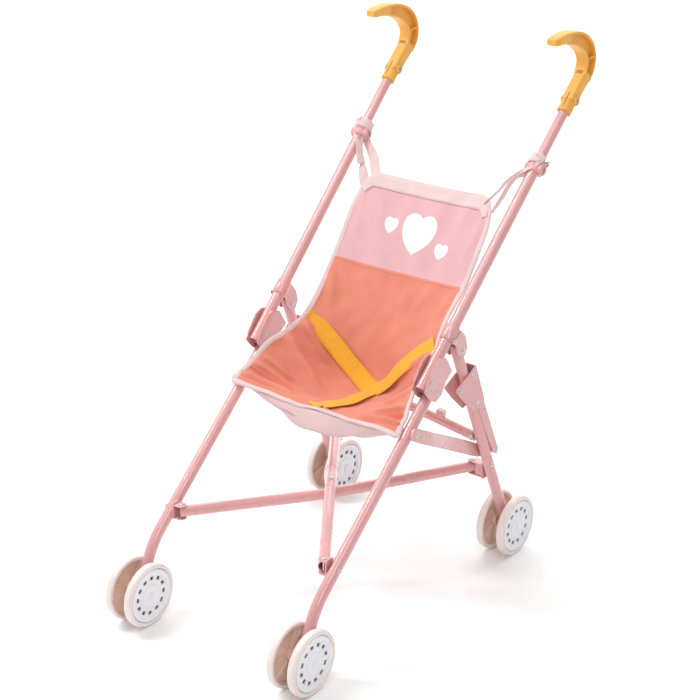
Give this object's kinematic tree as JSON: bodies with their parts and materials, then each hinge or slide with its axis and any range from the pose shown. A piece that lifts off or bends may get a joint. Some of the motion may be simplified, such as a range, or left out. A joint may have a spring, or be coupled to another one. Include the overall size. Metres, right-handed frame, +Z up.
{
  "type": "doll stroller",
  "caption": "Folding doll stroller with a tubular metal frame, cane-hook handles, twin wheels, crossed bars under the seat and a fabric sling seat with a webbing harness.",
  "frame": {"origin": "on the floor, under the centre of the bounding box", "axes": "+Z up, -Y the way the stroller faces, +X towards the doll's left hand, which is the viewer's right seen from the front"},
  "size_m": [0.2788, 0.5429, 0.5798],
  "materials": {
    "frame_paint": "semi-gloss pale pink powder coat",
    "rivet_steel": "bright zinc-plated steel",
    "grip_plastic": "satin moulded yellow-orange plastic",
    "wheel_plastic": "ivory rim ring with a white face",
    "clip_plastic": "moulded pink plastic",
    "cloth_pale": "plain-weave polyester, pale pink",
    "cloth_coral": "plain-weave polyester, coral",
    "webbing": "flat woven yellow webbing"
  },
  "bodies": {
    "right_frame": {"right_handle_grip": "grip_plastic", "right_grip_screw": "rivet_steel", "right_handle_tube": "frame_paint", "right_main_tube": "frame_paint", "right_joint_clip": "clip_plastic", "right_joint_bolt": "rivet_steel", "right_collar": "frame_paint", "right_collar_pin": "rivet_steel", "seat_upper_panel": "cloth_pale", "seat_lower_panel": "cloth_coral", "harness_left": "webbing", "harness_right": "webbing", "harness_crotch": "webbing", "strap_loop_right": "cloth_pale"},
    "left_frame": {"left_handle_grip": "grip_plastic", "left_grip_screw": "rivet_steel", "left_handle_tube": "frame_paint", "left_main_tube": "frame_paint", "left_joint_clip": "clip_plastic", "left_joint_bolt": "rivet_steel", "left_collar": "frame_paint", "left_collar_pin": "rivet_steel", "strap_loop_left": "cloth_pale"},
    "left_front_leg": {"left_knee_bracket": "frame_paint", "left_knee_pin": "rivet_steel", "left_front_leg": "frame_paint", "left_brace_pin": "rivet_steel"},
    "left_front_wheels": {"left_front_wheel_outer": "wheel_plastic", "left_front_wheel_inner": "wheel_plastic", "left_front_axle": "rivet_steel"},
    "left_rear_leg": {"left_rear_leg": "frame_paint", "left_rear_bracket": "frame_paint"},
    "left_rear_wheels": {"left_rear_wheel_outer": "wheel_plastic", "left_rear_wheel_inner": "wheel_plastic", "left_rear_axle": "rivet_steel"},
    "left_side_brace": {"left_side_brace": "frame_paint"},
    "left_front_yoke": {"left_front_yoke": "frame_paint"},
    "left_rear_yoke": {"left_rear_yoke": "frame_paint"},
    "right_front_leg": {"right_knee_bracket": "frame_paint", "right_knee_pin": "rivet_steel", "right_front_leg": "frame_paint", "right_brace_pin": "rivet_steel"},
    "right_front_wheels": {"right_front_wheel_outer": "wheel_plastic", "right_front_wheel_inner": "wheel_plastic", "right_front_axle": "rivet_steel"},
    "right_rear_leg": {"right_rear_leg": "frame_paint", "right_rear_bracket": "frame_paint"},
    "right_rear_wheels": {"right_rear_wheel_outer": "wheel_plastic", "right_rear_wheel_inner": "wheel_plastic", "right_rear_axle": "rivet_steel"},
    "right_side_brace": {"right_side_brace": "frame_paint"},
    "right_front_yoke": {"right_front_yoke": "frame_paint"},
    "right_rear_yoke": {"right_rear_yoke": "frame_paint"},
    "cross_bar_lower": {"cross_bar_lower": "frame_paint", "cross_pin": "rivet_steel"},
    "cross_bar_upper": {"cross_bar_upper": "frame_paint"},
    "left_rear_strut": {"left_rear_strut": "frame_paint", "strut_latch": "frame_paint"},
    "right_rear_strut": {"right_rear_strut": "frame_paint"}
  },
  "joints": [
    {"name": "fold", "type": "hinge", "parent": "right_frame", "child": "right_front_leg", "pos_m": [-0.1102, -0.0291, 0.2604], "axis": [-1, 0, 0], "range_deg": [0, 58], "deforming": ["seat_upper_panel", "seat_lower_panel", "harness_left", "harness_right", "harness_crotch", "strap_loop_left", "strap_loop_right"]},
    {"name": "right_yoke_tilt", "type": "hinge", "parent": "right_front_leg", "child": "right_front_yoke", "pos_m": [-0.109, -0.1812, 0.1105], "axis": [1, 0, 0], "range_deg": [0, 16.64]},
    {"name": "lower_bar_swing", "type": "hinge", "parent": "right_front_yoke", "child": "cross_bar_lower", "pos_m": [-0.095, -0.1812, 0.1105], "axis": [0, 0, 1], "range_deg": [0, 17.04]},
    {"name": "bar_scissor", "type": "hinge", "parent": "cross_bar_lower", "child": "cross_bar_upper", "pos_m": [0, -0.04435, 0.1105], "axis": [0, 0, -1], "range_deg": [0, 34.04]},
    {"name": "left_yoke_turn", "type": "hinge", "parent": "cross_bar_upper", "child": "left_front_yoke", "pos_m": [0.095, -0.1812, 0.1105], "axis": [0, 0, 1], "range_deg": [0, 17.04]},
    {"name": "left_yoke_tilt", "type": "hinge", "parent": "left_front_yoke", "child": "left_front_leg", "pos_m": [0.109, -0.1812, 0.1105], "axis": [-1, 0, 0], "range_deg": [0, 16.64]},
    {"name": "left_knee", "type": "hinge", "parent": "left_front_leg", "child": "left_frame", "pos_m": [0.1102, -0.0291, 0.2604], "axis": [1, 0, 0], "range_deg": [0, 58.05]},
    {"name": "left_rear_yoke_turn", "type": "hinge", "parent": "cross_bar_lower", "child": "left_rear_yoke", "pos_m": [0.095, 0.0925, 0.1105], "axis": [0, 0, -1], "range_deg": [0, 17.04]},
    {"name": "right_rear_yoke_turn", "type": "hinge", "parent": "cross_bar_upper", "child": "right_rear_yoke", "pos_m": [-0.095, 0.0925, 0.1105], "axis": [0, 0, 1], "range_deg": [0, 17.04]},
    {"name": "right_rear_leg_swing", "type": "hinge", "parent": "right_frame", "child": "right_rear_leg", "pos_m": [-0.1126, 0.0243, 0.2795], "axis": [-1, 0, 0], "range_deg": [0, 29.92]},
    {"name": "right_brace_swing", "type": "hinge", "parent": "right_front_leg", "child": "right_side_brace", "pos_m": [-0.1099, -0.0572, 0.2136], "axis": [1, 0, 0], "range_deg": [0, 30.91]},
    {"name": "right_strut_fold", "type": "hinge", "parent": "right_rear_leg", "child": "right_rear_strut", "pos_m": [-0.106, 0.0708, 0.158], "axis": [0, -1, 0], "range_deg": [0, 46.45]},
    {"name": "right_front_wheels_roll", "type": "hinge", "parent": "right_front_leg", "child": "right_front_wheels", "pos_m": [-0.1083, -0.2364, 0.035], "axis": [1, 0, 0], "continuous": true},
    {"name": "right_rear_wheels_roll", "type": "hinge", "parent": "right_rear_leg", "child": "right_rear_wheels", "pos_m": [-0.1212, 0.1229, 0.035], "axis": [1, 0, 0], "continuous": true},
    {"name": "left_rear_leg_swing", "type": "hinge", "parent": "left_frame", "child": "left_rear_leg", "pos_m": [0.1126, 0.0243, 0.2795], "axis": [-1, 0, 0], "range_deg": [0, 29.92]},
    {"name": "left_brace_swing", "type": "hinge", "parent": "left_front_leg", "child": "left_side_brace", "pos_m": [0.1099, -0.0572, 0.2136], "axis": [1, 0, 0], "range_deg": [0, 30.91]},
    {"name": "left_strut_fold", "type": "hinge", "parent": "left_rear_leg", "child": "left_rear_strut", "pos_m": [0.106, 0.0708, 0.158], "axis": [0, 1, 0], "range_deg": [0, 46.45]},
    {"name": "left_front_wheels_roll", "type": "hinge", "parent": "left_front_leg", "child": "left_front_wheels", "pos_m": [0.1083, -0.2364, 0.035], "axis": [1, 0, 0], "continuous": true},
    {"name": "left_rear_wheels_roll", "type": "hinge", "parent": "left_rear_leg", "child": "left_rear_wheels", "pos_m": [0.1212, 0.1229, 0.035], "axis": [1, 0, 0], "continuous": true}
  ],
  "couplings": [
    {"joint": "right_yoke_tilt", "follows": "fold", "ratio": 0.286},
    {"joint": "lower_bar_swing", "follows": "fold", "ratio": 0.293},
    {"joint": "bar_scissor", "follows": "fold", "ratio": 0.586},
    {"joint": "left_yoke_turn", "follows": "fold", "ratio": 0.293},
    {"joint": "left_yoke_tilt", "follows": "fold", "ratio": 0.286},
    {"joint": "left_knee", "follows": "fold", "ratio": 1},
    {"joint": "left_rear_yoke_turn", "follows": "fold", "ratio": 0.293},
    {"joint": "right_rear_yoke_turn", "follows": "fold", "ratio": 0.293},
    {"joint": "right_rear_leg_swing", "follows": "fold", "ratio": 0.515},
    {"joint": "right_brace_swing", "follows": "fold", "ratio": 0.532},
    {"joint": "right_strut_fold", "follows": "fold", "ratio": 0.8},
    {"joint": "left_rear_leg_swing", "follows": "fold", "ratio": 0.515},
    {"joint": "left_brace_swing", "follows": "fold", "ratio": 0.532},
    {"joint": "left_strut_fold", "follows": "fold", "ratio": 0.8}
  ]
}
